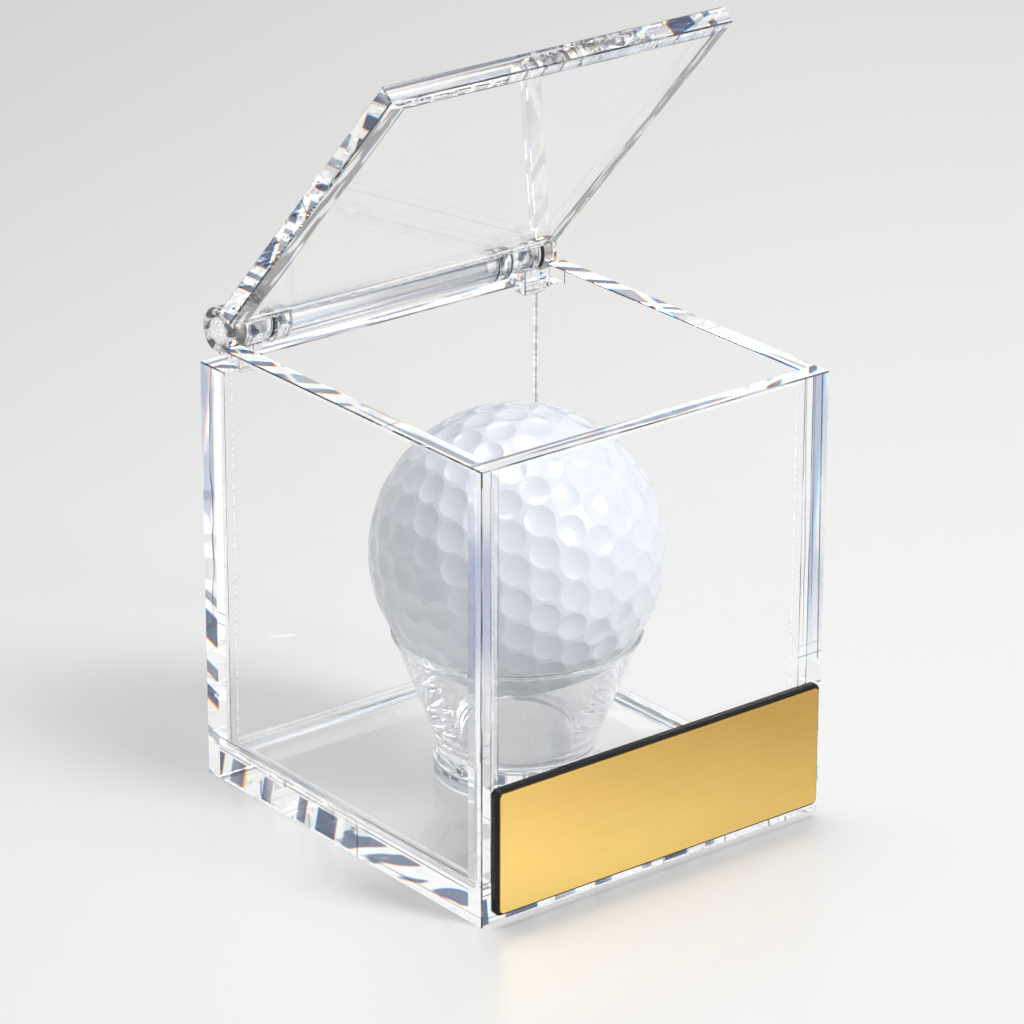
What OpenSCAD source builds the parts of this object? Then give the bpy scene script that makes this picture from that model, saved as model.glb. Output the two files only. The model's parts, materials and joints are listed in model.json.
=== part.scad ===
// Hinged clear display case for one golf ball.
// Millimetres. X runs along the nameplate, -Y faces the viewer, Z is up.
// The origin is the middle of the case's underside, on the table.

/* [Case] */
// Outside width, left to right
case_w = 62; // [60:1:80]
// Outside depth, front to back
case_d = 65; // [62:1:80]
// Height of the front and side rims
case_h = 68; // [66:1:80]
// Thickness of the clear walls
wall_t = 3; // [2.5:0.1:3.2]
// Thickness of the base panel
base_t = 4; // [3:0.5:5]
// Height taken off the back wall and the rear ends of the side walls
back_drop = 3.4; // [3.2:0.1:3.8]

/* [Lid and hinge] */
// How far the lid stands open as modelled
lid_angle = 48; // [0:1:90]
// Thickness of the lid panel
lid_t = 3; // [2.6:0.1:3.2]
// Gap from the lid's ends to the case's sides and front
lid_inset = 1; // [0.8:0.1:1.4]
// Gap under the closed lid
lid_gap = 0.1; // [0.05:0.05:0.3]
// Distance of the hinge axis from the back face
axis_inset = 2.6; // [2.5:0.1:3]
// Radius of the metal rings and the tube's flanges
ring_r = 3.45; // [3.3:0.05:3.5]
// Radius of the long clear tube
tube_r = 3.25; // [3:0.05:3.3]
// Radius of the clear rod
rod_r = 2; // [1.6:0.1:2.2]
// Height of the domed ends of the rod
rod_dome = 0.5; // [0.3:0.1:0.8]
// Length of the polished end ring
end_ring_len = 1.3; // [1:0.1:1.6]
// Length of the satin band
band_len = 1.5; // [1.2:0.1:1.8]
// Depth of the groove between end ring and band
band_step = 0.1; // [0.05:0.05:0.2]
// Thickness of each black washer
washer_t = 0.3; // [0.2:0.05:0.4]
// Length of the bead at a collar's outer end
bead_len = 1.4; // [1:0.1:1.8]
// Length of a clear collar with its bead
collar_len = 4.9; // [4:0.1:6]
// Length of a flange on the tube
flange_len = 2.7; // [2:0.1:3.5]

/* [Ball and tee] */
// Ball diameter
ball_d = 42.67; // [42:0.01:43]
// Height of the ball's centre above the table
ball_z = 38.6; // [38.4:0.1:39.6]
// Outer radius of the cup's rim
rim_r = 18.3; // [18.1:0.1:18.6]
// Height of the rim above the table
rim_z = 26.8; // [26.5:0.1:27.2]
// Wall of the cup just below the rim
rim_t = 1; // [0.8:0.1:1.2]
// Outer radius of the waist
waist_r = 11.6; // [11:0.1:12]
// Height of the waist above the base panel
waist_up = 5; // [4:0.5:6]
// Outer radius of the foot
foot_r = 12.1; // [12:0.1:13]
// Height of the foot's straight side
foot_h = 3; // [2:0.5:3.5]
// Radius of the flat bottom inside the cup
well_r = 8.5; // [7:0.5:9]
// Thickness of the solid foot under the well
well_up = 4.6; // [4:0.2:6]

/* [Nameplate] */
// Length of the black backing
plate_w = 59; // [50:1:60]
// Height of the black backing
plate_h = 19.1; // [15:0.1:21]
// Gap from the table to the backing
plate_up = 1.9; // [1.5:0.1:3]
// Thickness of the backing
plate_t = 1.2; // [1:0.1:1.5]
// Thickness of the gold sheet
gold_t = 0.3; // [0.2:0.05:0.5]
// Black border left around the gold sheet
gold_margin = 0.5; // [0.3:0.1:1]
// Corner radius of the backing
plate_corner = 0.9; // [0.6:0.1:1.5]
// Thickness of the adhesive pad
pad_t = 0.2; // [0.1:0.05:0.4]
// How much smaller the pad is on each side
pad_margin = 2; // [1:0.5:4]

/* [Hidden] */
$fn = 96;
over = 1;
// Running fit of the tube, flanges, rings and washers on the rod
run_fit = 0.06;
// End play between a washer and a collar
end_play = 0.1;
// Ball to seat clearance
seat_fit = 0.05;
// Space between turning rings and the fixed case
ring_clear = 0.3;

axis_y = case_d / 2 - axis_inset;
axis_z = case_h + lid_gap + lid_t / 2;
lid_w = case_w - 2 * lid_inset;
lid_reach = case_d - axis_inset - 1.4 * lid_inset;
inner_w = case_w - 2 * wall_t;
inner_d = case_d - 2 * wall_t;
back_h = case_h - back_drop;
ball_r = ball_d / 2;
collar_r = ring_r - 0.6;
bead_r = ring_r - 0.3;

// Stations along the hinge, measured from the middle outwards
band_out = lid_w / 2 - end_ring_len;
band_in = band_out - band_len;
outer_washer_in = band_in - washer_t;
collar_out = outer_washer_in - end_play;
collar_in = collar_out - collar_len;
flange_out = collar_in - end_play - washer_t;
flange_in = flange_out - flange_len;

// Depth of the notch that lets the rings turn behind the side walls' rims
notch_y = axis_y - sqrt(pow(ring_r + ring_clear, 2) - pow(axis_z - case_h, 2));

// Hinge block
block_y0 = axis_y - 3;
block_y1 = axis_y + 1.1;
block_z0 = back_h - 0.9;
block_z1 = axis_z - 2;
block_step_z = axis_z - ring_r - ring_clear;

// The tee stands midway between the front wall and the hinge blocks
tee_y = (block_y0 - inner_d / 2) / 2;

plate_front = -case_d / 2 - pad_t - plate_t;
plate_mid_z = plate_up + plate_h / 2;

clear_tint = [0.86, 0.92, 0.95, 0.35];

// Helpers

// A round bar or ring along the hinge axis, from station a to station b
module hinge_round(a, b, outer, inner = 0) {
    translate([a, axis_y, axis_z])
        rotate([0, 90, 0])
            difference() {
                cylinder(r = outer, h = b - a);
                if (inner > 0)
                    translate([0, 0, -over])
                        cylinder(r = inner, h = b - a + 2 * over);
            }
}

// Puts a right-hand part on the left
module to_left() {
    mirror([1, 0, 0])
        children();
}

// Swings the lid's pieces from closed to the modelled angle
module open_lid() {
    translate([0, axis_y, axis_z])
        rotate([-lid_angle, 0, 0])
            translate([0, -axis_y, -axis_z])
                children();
}

// A flat plate standing on the front wall, its corners rounded
module upright_plate(w, h, corner, back_y, t) {
    translate([0, back_y, plate_mid_z])
        rotate([90, 0, 0])
            linear_extrude(t) {
                square([w - 2 * corner, h], center = true);
                square([w, h - 2 * corner], center = true);
                for (sx = [-1, 1], sz = [-1, 1])
                    translate([sx * (w / 2 - corner), sz * (h / 2 - corner)])
                        circle(r = corner, $fn = 48);
            }
}

// Case

module base_panel() {
    color(clear_tint)
        translate([-inner_w / 2, -inner_d / 2, 0])
            cube([inner_w, inner_d, base_t]);
}

module front_wall() {
    color(clear_tint)
        translate([-case_w / 2, -case_d / 2, 0])
            cube([case_w, wall_t, case_h]);
}

module back_wall() {
    color(clear_tint)
        translate([-case_w / 2, case_d / 2 - wall_t, 0])
            cube([case_w, wall_t, back_h]);
}

module side_wall() {
    translate([inner_w / 2, -inner_d / 2, 0])
        difference() {
            cube([wall_t, inner_d, case_h]);
            translate([-over, notch_y + inner_d / 2, back_h])
                cube([wall_t + 2 * over, inner_d, case_h]);
        }
}

module right_wall() {
    color(clear_tint)
        side_wall();
}

module left_wall() {
    color(clear_tint)
        to_left()
            side_wall();
}

// Hinge pieces that stay with the case

// The stepped block under a collar: it laps the back wall and the side wall
module hinge_block() {
    block_x0 = collar_out - 0.6 * collar_len;
    difference() {
        union() {
            translate([block_x0, block_y0, block_z0])
                cube([inner_w / 2 - block_x0, case_d / 2 - wall_t - block_y0, back_h - block_z0]);
            translate([block_x0, block_y0, back_h])
                cube([inner_w / 2 - block_x0, block_y1 - block_y0, block_step_z - back_h]);
            translate([block_x0, block_y0, block_step_z])
                cube([collar_out - block_x0, block_y1 - block_y0, block_z1 - block_step_z]);
        }
        hinge_round(collar_out - bead_len, collar_out + over, bead_r);
        hinge_round(block_x0 - over, collar_out - bead_len, collar_r);
    }
}

module hinge_block_right() {
    color(clear_tint)
        hinge_block();
}

module hinge_block_left() {
    color(clear_tint)
        to_left()
            hinge_block();
}

module hinge_collar() {
    hinge_round(collar_in, collar_out - bead_len, collar_r, rod_r);
    hinge_round(collar_out - bead_len, collar_out, bead_r, rod_r);
}

module hinge_collar_right() {
    color(clear_tint)
        hinge_collar();
}

module hinge_collar_left() {
    color(clear_tint)
        to_left()
            hinge_collar();
}

// The clear rod through the whole hinge, with a low dome on each end
module hinge_rod() {
    half = lid_w / 2;
    dome_r = (rod_r * rod_r + rod_dome * rod_dome) / (2 * rod_dome);
    color(clear_tint)
        translate([0, axis_y, axis_z])
            rotate([0, 90, 0])
                rotate_extrude()
                    for (side = [0, 1])
                        mirror([0, side]) {
                            square([rod_r, half - rod_dome]);
                            intersection() {
                                translate([0, half - dome_r])
                                    circle(r = dome_r);
                                translate([0, half - rod_dome - 0.01])
                                    square([rod_r, rod_dome + over]);
                            }
                        }
}

// Ball and tee

// The clear cup the ball rests in, turned about its own axis
module ball_tee() {
    well_z = base_t + well_up;
    inner_top = rim_r - rim_t;
    color(clear_tint)
        translate([0, tee_y, 0])
            difference() {
                rotate_extrude()
                    polygon([
                        [0, base_t],
                        [foot_r - 0.4, base_t],
                        [foot_r, base_t + 0.4],
                        [foot_r, base_t + foot_h],
                        [waist_r, base_t + foot_h + 0.7],
                        [waist_r, base_t + waist_up],
                        [waist_r + 0.3, base_t + waist_up + 1.2],
                        [rim_r - 0.9, rim_z - 2.4],
                        [rim_r - 0.1, rim_z - 0.8],
                        [rim_r, rim_z - 0.4],
                        [rim_r - 0.15, rim_z],
                        [inner_top, rim_z],
                        [inner_top - 0.5, rim_z - 1.6],
                        [well_r + 1.1, well_z + 2.2],
                        [well_r + 0.3, well_z + 0.6],
                        [well_r - 0.5, well_z],
                        [0, well_z]
                    ]);
                translate([0, 0, ball_z])
                    sphere(r = ball_r + seat_fit);
            }
}

module golf_ball() {
    color([0.97, 0.97, 0.98])
        translate([0, tee_y, ball_z])
            sphere(r = ball_r);
}

// Nameplate

module nameplate_pad() {
    color([0.85, 0.85, 0.82])
        upright_plate(plate_w - 2 * pad_margin, plate_h - 2 * pad_margin, plate_corner,
            -case_d / 2, pad_t);
}

module nameplate_backing() {
    color([0.05, 0.05, 0.05])
        upright_plate(plate_w, plate_h, plate_corner, -case_d / 2 - pad_t, plate_t);
}

module nameplate_gold() {
    color([0.83, 0.68, 0.35])
        upright_plate(plate_w - 2 * gold_margin, plate_h - 2 * gold_margin,
            plate_corner - gold_margin / 2, plate_front, gold_t);
}

// Lid and the hinge pieces that turn with it

// The lid panel; its rear edge is hollowed to sit on the tube and the rings
module lid_panel() {
    color(clear_tint)
        open_lid()
            difference() {
                translate([-lid_w / 2, axis_y - lid_reach, axis_z - lid_t / 2])
                    cube([lid_w, lid_reach, lid_t]);
                hinge_round(-flange_in, flange_in, tube_r);
                for (side = [0, 1])
                    mirror([side, 0, 0])
                        hinge_round(flange_in, lid_w / 2 + over, ring_r);
            }
}

module lid_tube() {
    color(clear_tint)
        hinge_round(-flange_in, flange_in, tube_r, rod_r + run_fit);
}

module tube_flange() {
    hinge_round(flange_in, flange_out, ring_r, rod_r + run_fit);
}

module tube_flange_right() {
    color(clear_tint)
        tube_flange();
}

module tube_flange_left() {
    color(clear_tint)
        to_left()
            tube_flange();
}

module inner_washer() {
    hinge_round(flange_out, flange_out + washer_t, collar_r, rod_r + run_fit);
}

module inner_washer_right() {
    color([0.03, 0.03, 0.03])
        inner_washer();
}

module inner_washer_left() {
    color([0.03, 0.03, 0.03])
        to_left()
            inner_washer();
}

module outer_washer() {
    hinge_round(outer_washer_in, band_in, bead_r, rod_r + run_fit);
}

module outer_washer_right() {
    color([0.03, 0.03, 0.03])
        outer_washer();
}

module outer_washer_left() {
    color([0.03, 0.03, 0.03])
        to_left()
            outer_washer();
}

// A satin band, necked a little where it meets the polished ring
module satin_band() {
    neck = 0.25;
    hinge_round(band_in, band_out - neck, ring_r, rod_r + run_fit);
    hinge_round(band_out - neck, band_out, ring_r - band_step, rod_r + run_fit);
}

module satin_band_right() {
    color([0.62, 0.6, 0.57])
        satin_band();
}

module satin_band_left() {
    color([0.62, 0.6, 0.57])
        to_left()
            satin_band();
}

// A polished ring with a bevelled rim and a countersunk bore
module end_ring() {
    bevel = 0.35;
    translate([band_out, axis_y, axis_z])
        rotate([0, 90, 0])
            rotate_extrude()
                polygon([
                    [rod_r + run_fit, 0],
                    [ring_r, 0],
                    [ring_r, end_ring_len - bevel],
                    [ring_r - bevel, end_ring_len],
                    [rod_r + run_fit + bevel, end_ring_len],
                    [rod_r + run_fit, end_ring_len - bevel]
                ]);
}

module end_ring_right() {
    color([0.8, 0.8, 0.8])
        end_ring();
}

module end_ring_left() {
    color([0.8, 0.8, 0.8])
        to_left()
            end_ring();
}

base_panel();
front_wall();
back_wall();
left_wall();
right_wall();
hinge_block_left();
hinge_block_right();
hinge_collar_left();
hinge_collar_right();
hinge_rod();
ball_tee();
nameplate_pad();
nameplate_backing();
nameplate_gold();
lid_panel();
lid_tube();
tube_flange_left();
tube_flange_right();
inner_washer_left();
inner_washer_right();
outer_washer_left();
outer_washer_right();
satin_band_left();
satin_band_right();
end_ring_left();
end_ring_right();
golf_ball();
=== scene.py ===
"""Looks of the hinged clear display case with a golf ball on its tee.

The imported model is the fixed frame. Clear sheets, turned hinge pieces, tee, ball and
nameplate are built around it in millimetres, in the same frame, and dressed with
node-based finishes.
"""

import json
import logging
import math
from collections.abc import Callable, Sequence
from dataclasses import dataclass, field
from enum import Enum, IntEnum
from itertools import combinations

import bmesh
import bpy
import numpy as np
from mathutils import Matrix, Quaternion, Vector


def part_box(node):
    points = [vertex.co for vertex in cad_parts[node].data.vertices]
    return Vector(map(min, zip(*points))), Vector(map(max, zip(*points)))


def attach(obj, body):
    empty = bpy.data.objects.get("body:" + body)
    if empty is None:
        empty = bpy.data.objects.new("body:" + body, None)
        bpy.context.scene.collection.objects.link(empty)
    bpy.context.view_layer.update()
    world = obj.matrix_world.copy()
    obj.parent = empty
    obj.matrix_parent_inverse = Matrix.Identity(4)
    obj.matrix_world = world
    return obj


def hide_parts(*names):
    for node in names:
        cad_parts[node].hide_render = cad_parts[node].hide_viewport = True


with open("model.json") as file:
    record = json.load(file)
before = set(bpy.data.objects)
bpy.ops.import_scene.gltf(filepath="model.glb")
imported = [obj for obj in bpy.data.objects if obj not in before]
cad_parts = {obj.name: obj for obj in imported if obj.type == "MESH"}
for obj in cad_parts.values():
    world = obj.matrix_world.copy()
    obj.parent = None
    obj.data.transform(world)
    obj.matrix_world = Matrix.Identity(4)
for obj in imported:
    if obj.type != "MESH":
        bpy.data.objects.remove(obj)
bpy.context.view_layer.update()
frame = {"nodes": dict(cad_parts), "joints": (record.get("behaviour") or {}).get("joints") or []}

LOG = logging.getLogger("display_case")
MM = 0.001
Point = tuple[float, float]
Colour = tuple[float, float, float]
Way = tuple[float, float, float]
Ramp = tuple[float, float, float, float]
Socket = bpy.types.NodeSocket
Mesh = bmesh.types.BMesh
Vert = bmesh.types.BMVert
X_RUN, Y_RUN, Z_RUN = (1.0, 0.0, 0.0), (0.0, 1.0, 0.0), (0.0, 0.0, 1.0)
WHITE, BLACK = (1.0, 1.0, 1.0), (0.0, 0.0, 0.0)
ACRYLIC_IOR = 1.49

# The lid's packed joint, and its axis as (y, z) in millimetres
LID_JOINT = next(joint for joint in frame["joints"] if joint["name"] == "lid_hinge")
HINGE_AXIS = tuple(part / MM for part in LID_JOINT["pos_m"][1:])

# Edges flatter than this many degrees are shaded smooth
SMOOTH_DEG = 40.0

# Edges that turn by more than this many radians get a chamfer
SHARP = 1.0

# Corners whose half angle is wider stay as they are, and a round takes at most this share of a side
NEARLY_STRAIGHT = math.radians(85)
SIDE_SHARE = 0.35

# The axis across each sheet
THIN_AXIS = {"base_panel": 2, "front_wall": 1, "back_wall": 1, "left_wall": 0, "right_wall": 0}


class Body(Enum):
    """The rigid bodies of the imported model."""

    CASE = "case"
    LID = "lid"
    BALL = "ball"


class Side(Enum):
    """Left or right end of the hinge, with its sign along X."""

    LEFT = -1
    RIGHT = 1

    @property
    def word(self) -> str:
        """The side's name as node names spell it."""
        return self.name.lower()


# Shader helpers


class Wire:
    """A shader socket that does arithmetic by adding Math nodes."""

    def __init__(self, recipe: "Recipe", socket: Socket) -> None:
        """Wraps an output socket.

        Args:
            recipe: the node tree being written.
            socket: the output that carries the value.
        """
        self.recipe = recipe
        self.socket = socket

    def math(self, operation: str, *others: "Wire | float", first: "Wire | float | None" = None) -> "Wire":
        """Adds one Math node.

        Args:
            operation: Blender's name of the operation.
            others: the operands after this one.
            first: an operand that goes before this one.

        Returns:
            The result as a wire.
        """
        operands = [self, *others] if first is None else [first, self, *others]
        made = self.recipe.node("ShaderNodeMath", {"operation": operation}, dict(enumerate(operands)))
        return Wire(self.recipe, made.outputs[0])

    def __add__(self, other: "Wire | float") -> "Wire":
        """Sum."""
        return self.math("ADD", other)

    __radd__ = __add__

    def __mul__(self, other: "Wire | float") -> "Wire":
        """Product."""
        return self.math("MULTIPLY", other)

    __rmul__ = __mul__

    def __sub__(self, other: "Wire | float") -> "Wire":
        """Difference."""
        return self.math("SUBTRACT", other)

    def __rsub__(self, other: "Wire | float") -> "Wire":
        """Reflected difference."""
        return self.math("SUBTRACT", first=other)

    def ramp(self, low: float, high: float, start: float = 0.0, end: float = 1.0) -> "Wire":
        """Smooth step from start to end as the value goes from low to high."""
        made = self.recipe.node(
            "ShaderNodeMapRange",
            {"interpolation_type": "SMOOTHSTEP"},
            {"Value": self, "From Min": low, "From Max": high, "To Min": start, "To Max": end},
        )
        return Wire(self.recipe, made.outputs["Result"])


class Recipe:
    """A node tree that is written one node at a time."""

    def __init__(self, tree: bpy.types.NodeTree) -> None:
        """Empties the tree.

        Args:
            tree: the material's or world's nodes.
        """
        self.tree = tree
        tree.nodes.clear()

    def node(self, kind: str, settings: dict[str, object] | None = None,
             inputs: dict[str | int, object] | None = None) -> bpy.types.Node:
        """Adds a node, sets it up and links or fills its sockets.

        Args:
            kind: the node's type name.
            settings: its own properties.
            inputs: socket name or number to a wire, a node's first output or a value.

        Returns:
            The new node.
        """
        made = self.tree.nodes.new(kind)
        for name, value in (settings or {}).items():
            setattr(made, name, value)
        for name, value in (inputs or {}).items():
            socket = made.inputs[name]
            if isinstance(value, Wire):
                self.tree.links.new(value.socket, socket)
            elif isinstance(value, Socket):
                self.tree.links.new(value, socket)
            elif isinstance(value, tuple) and len(value) == 3 and socket.type == "RGBA":
                socket.default_value = (*value, 1.0)
            else:
                socket.default_value = value
        return made

    def wire(self, node: bpy.types.Node, output: str | int = 0) -> Wire:
        """One output of a node as a wire."""
        return Wire(self, node.outputs[output])

    def place(self) -> Socket:
        """The position on the piece, in metres, as it was built."""
        return self.node("ShaderNodeTexCoord").outputs["Object"]

    def along(self, way: Way) -> Wire:
        """How far a point lies along a direction, in millimetres."""
        scaled = tuple(part / MM for part in way)
        made = self.node("ShaderNodeVectorMath", {"operation": "DOT_PRODUCT"}, {0: self.place(), 1: scaled})
        return self.wire(made, "Value")

    def turn(self, axis: Point) -> Wire:
        """The angle round a line along X through (y, z), in radians."""
        height = self.along(Z_RUN) - axis[1]
        return height.math("ARCTAN2", self.along(Y_RUN) - axis[0])

    def backfacing(self) -> Wire:
        """1 where the surface is seen from inside."""
        return self.wire(self.node("ShaderNodeNewGeometry"), "Backfacing")

    def stretched(self, scale: Way) -> Socket:
        """The position with each axis scaled, for grain that runs along one of them."""
        inputs = {"Vector": self.place(), "Scale": scale}
        return self.node("ShaderNodeMapping", None, inputs).outputs["Vector"]

    def noise(self, vector: Socket, scale: float, detail: float, dimensions: str = "3D") -> Wire:
        """Fractal noise between about 0.2 and 0.8."""
        inputs = {"Vector": vector, "Scale": scale, "Detail": detail}
        return self.wire(self.node("ShaderNodeTexNoise", {"noise_dimensions": dimensions}, inputs), "Fac")

    def stripes(self, along: Wire, detail: float = 1.0) -> Wire:
        """Noise that changes along one value only."""
        inputs = {"W": along, "Scale": 1.0, "Detail": detail}
        return self.wire(self.node("ShaderNodeTexNoise", {"noise_dimensions": "1D"}, inputs), "Fac")

    def streaks(self, first: Wire, second: Wire) -> Wire:
        """Smooth noise over two values."""
        spot = self.node("ShaderNodeCombineXYZ", None, {0: first, 1: second}).outputs[0]
        return self.noise(spot, 1.0, 1.0, "2D")

    def channels(self, levels: Sequence[Wire]) -> Socket:
        """A colour from its three levels."""
        inputs = dict(zip(("Red", "Green", "Blue"), levels))
        return self.node("ShaderNodeCombineColor", None, inputs).outputs[0]

    def blend(self, factor: Wire | float, first: object, second: object) -> Socket:
        """Mixes two colours by a factor."""
        made = self.node("ShaderNodeMix", {"data_type": "RGBA"}, {0: factor, 6: first, 7: second})
        return made.outputs[2]

    def mix(self, factor: Wire, first: Socket, second: Socket) -> Socket:
        """Mixes two shaders by a factor."""
        return self.node("ShaderNodeMixShader", None, {0: factor, 1: first, 2: second}).outputs[0]

    def see_through(self, colour: Colour) -> Socket:
        """A transparent shader."""
        return self.node("ShaderNodeBsdfTransparent", None, {"Color": colour}).outputs[0]

    def background(self, colour: Colour | Socket, strength: float = 1.0) -> Socket:
        """A background shader."""
        return self.node("ShaderNodeBackground", None, {"Color": colour, "Strength": strength}).outputs[0]

    def either(self, path: bpy.types.Node, first: str, second: str) -> Wire:
        """1 where either kind of ray of a Light Path node looks."""
        return self.wire(path, first).math("MAXIMUM", self.wire(path, second))

    def bump(self, height: Wire, depth_mm: float) -> Socket:
        """Turns a height into a normal; depth_mm is the height's full scale."""
        inputs = {"Height": height, "Distance": depth_mm * MM, "Strength": 1.0}
        return self.node("ShaderNodeBump", None, inputs).outputs["Normal"]

    def shader(self, **inputs: object) -> Socket:
        """A Principled shader; underscores in names stand for spaces."""
        named = {name.replace("_", " "): value for name, value in inputs.items()}
        return self.node("ShaderNodeBsdfPrincipled", None, named).outputs[0]

    def finish(self, surface: Socket) -> None:
        """Links the surface to the output."""
        self.node("ShaderNodeOutputMaterial", None, {"Surface": surface})


# Finishes


@dataclass(frozen=True)
class Finish:
    """A named material; subclasses write its nodes."""

    name: str
    slot: str

    def material(self) -> bpy.types.Material:
        """The Blender material, made on first use."""
        found = bpy.data.materials.get(self.name)
        if found is None:
            found = bpy.data.materials.new(self.name)
            found.use_nodes = True
            self.write(Recipe(found.node_tree))
        return found

    def write(self, recipe: Recipe) -> None:
        """Writes the nodes; each subclass has its own."""
        raise NotImplementedError


@dataclass(frozen=True)
class ClearAcrylic(Finish):
    """Polished clear acrylic; edges are flame polished and a little wavy."""

    slot: str = "clear_acrylic"
    tint: Colour = (0.999, 1.0, 1.0)
    wave_mm: float = 0.0
    wave_length_mm: float = 9.0
    roughness: float = 0.0
    gloss: float = 0.45
    # Strength of a painted glow: front faces emit their own tint as painted light
    glow: float = 0.0
    thin: bool = False
    in_sheet: bool = True

    def write(self, recipe: Recipe) -> None:
        """Clear refracting body that lets light through to what stands behind it."""
        extra: dict[str, object] = {}
        if self.wave_mm > 0:
            place = recipe.place()
            swell = recipe.noise(place, 1000 / self.wave_length_mm, 0.0)
            ripple = recipe.noise(place, 2300 / self.wave_length_mm, 0.0)
            extra["Normal"] = recipe.bump(swell + ripple * 0.12, self.wave_mm)
        tone = self.tone(recipe)
        # Painted light: front faces glow with their tint, though acrylic is no lamp
        if self.glow > 0:
            extra["Emission_Color"] = recipe.blend(recipe.backfacing(), tone, BLACK)
            extra["Emission_Strength"] = self.glow
        clear = recipe.shader(
            Base_Color=tone, Roughness=self.roughness, IOR=ACRYLIC_IOR, Transmission_Weight=1.0, **extra
        )
        path = recipe.node("ShaderNodeLightPath")
        lit = recipe.either(path, "Is Shadow Ray", "Is Diffuse Ray")
        surface = recipe.mix(lit, clear, recipe.see_through(WHITE))
        if self.in_sheet:
            surface = self.pane(recipe, path, surface)
        recipe.finish(surface)

    def tone(self, recipe: Recipe) -> Colour | Socket:
        """The tint of light that passes the surface."""
        return self.tint

    def pane(self, recipe: Recipe, path: bpy.types.Node, solid: Socket) -> Socket:
        """Lets straight sight pass a broad face, and leave any face, unbent.

        Light that a solid face has already bent sees solid acrylic all the way.
        """
        bent = recipe.either(path, "Is Transmission Ray", "Is Glossy Ray")
        bent = bent * recipe.wire(path, "Is Singular Ray")
        back = recipe.backfacing()
        clear = recipe.see_through(self.tint)
        if not self.thin:
            return recipe.mix(back * (1 - bent), solid, clear)
        fresnel = recipe.wire(recipe.node("ShaderNodeFresnel", None, {"IOR": ACRYLIC_IOR}))
        mirror = recipe.node("ShaderNodeBsdfGlossy", None, {"Color": WHITE, "Roughness": 0.0}).outputs[0]
        flat = recipe.mix(fresnel * (1 - back) * self.gloss, clear, mirror)
        return recipe.mix(bent, flat, solid)


@dataclass(frozen=True)
class PaintedLightEdge(ClearAcrylic):
    """A polished edge with painted reflections: slanted slate blocks and long streaks of shade, painted into
    its tint where the light in the sheet would break up.

    Lengths are in millimetres. run and across are the directions along and across the edge, and
    busy is a ramp along it, from long streaks at 0 to blocks at 1. Blocks repeat every step_mm.
    margin is the part across that carries the pattern, and a ramp along the edge brings the painted
    streaks in. A painted wedge of slate shade lies between a slanted line (its place and its rise along
    the edge) and a place across, on the side that wedge_side gives; 0 leaves it out.
    """

    glow: float = 0.1
    inside: float = 0.55
    run: Way = X_RUN
    across: Way = (0.0, 1.0, 1.0)
    start: float = 0.0
    step_mm: float = 5.6
    slant: float = 0.2
    busy: Ramp = (-1.0, 1.0, 1.0, 1.0)
    block_level: float = 0.1
    block_soft: float = 0.3
    drift_turns: float = 7.0
    depth_ramp: Ramp = (0.35, 0.6, 0.6, 1.0)
    cut: float = 0.3
    part_level: Point = (0.36, 0.4)
    streak_level: Point = (0.5, 0.57)
    streak_mm: Point = (30.0, 1.2)
    # dark and slate are the painted shade colours of the blocks and of the streaks
    dark: Colour = (0.16, 0.19, 0.27)
    slate: Colour = (0.5, 0.54, 0.64)
    fringe_mm: float = 0.11
    lean: Point = (0.0, 0.0)
    skew: float = 0.0
    margin: Point = (-900.0, 900.0)
    margin_soft: float = 0.25
    fade: Point = (-900.0, -800.0)
    wedge: tuple[float, float, float] = (0.0, 0.0, 0.0)
    wedge_side: int = 0

    def tone(self, recipe: Recipe) -> Colour | Socket:
        """Painted reflections: blocks and streaks of shade, with painted blue and amber rims like those a
        prism gives.
        """
        along, across = recipe.along(self.run) + self.start, recipe.along(self.across)
        place = along - self.start
        near, far = self.margin
        free = across.ramp(near, near + self.margin_soft) * across.ramp(far - self.margin_soft, far, 1.0, 0.0)
        busy = place.ramp(*self.busy)
        blocks = busy * recipe.stripes(along * 0.11 + 4.0, 0.0).ramp(*self.depth_ramp) * free
        streaks = (1 - busy) * free * place.ramp(*self.fade)
        drift = recipe.stripes((along + across * self.slant) * (0.9 / self.step_mm), 0.0) * self.drift_turns
        levels = []
        for shift, dark, slate in zip((-self.fringe_mm, 0.0, self.fringe_mm), self.dark, self.slate):
            slanted = along + across * self.slant + shift
            swing = (slanted * (2 * math.pi / self.step_mm) + drift).math("SINE")
            block = swing.ramp(self.block_level, self.block_level + self.block_soft)
            gaps = recipe.stripes((along * 0.3 - across + shift) * self.cut + 11.3, 0.0)
            part = gaps.ramp(*self.part_level)
            aside = across + along * self.skew + shift * 0.6
            streak = recipe.streaks(along * (1 / self.streak_mm[0]), aside * (1 / self.streak_mm[1]))
            streak = (streak + (across - self.lean[0] + shift) * self.lean[1]).ramp(*self.streak_level)
            # Painted shade: how far blocks, streaks and wedge darken this colour channel
            painted_shade = blocks * block * part * (1 - dark) + streaks * streak * (1 - slate)
            if self.wedge_side:
                wedge = self.painted_wedge_mask(along, across, shift)
                painted_shade = (1 - wedge) * painted_shade + wedge * (1 - slate)
            level = 1 - painted_shade
            levels.append(level * level)
        return recipe.blend(recipe.backfacing() * (1 - self.inside), recipe.channels(levels), self.tint)

    def painted_wedge_mask(self, along: Wire, across: Wire, shift: float) -> Wire:
        """1 inside the painted wedge of slate shade; shift moves its slanted rim for one colour."""
        edge, rise, far = self.wedge
        inner = (across + shift * 2 - along * rise - edge) * self.wedge_side
        outer = (far - across) * self.wedge_side
        return inner.ramp(-0.3, 0.5) * outer.ramp(0.0, 0.2)


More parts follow.
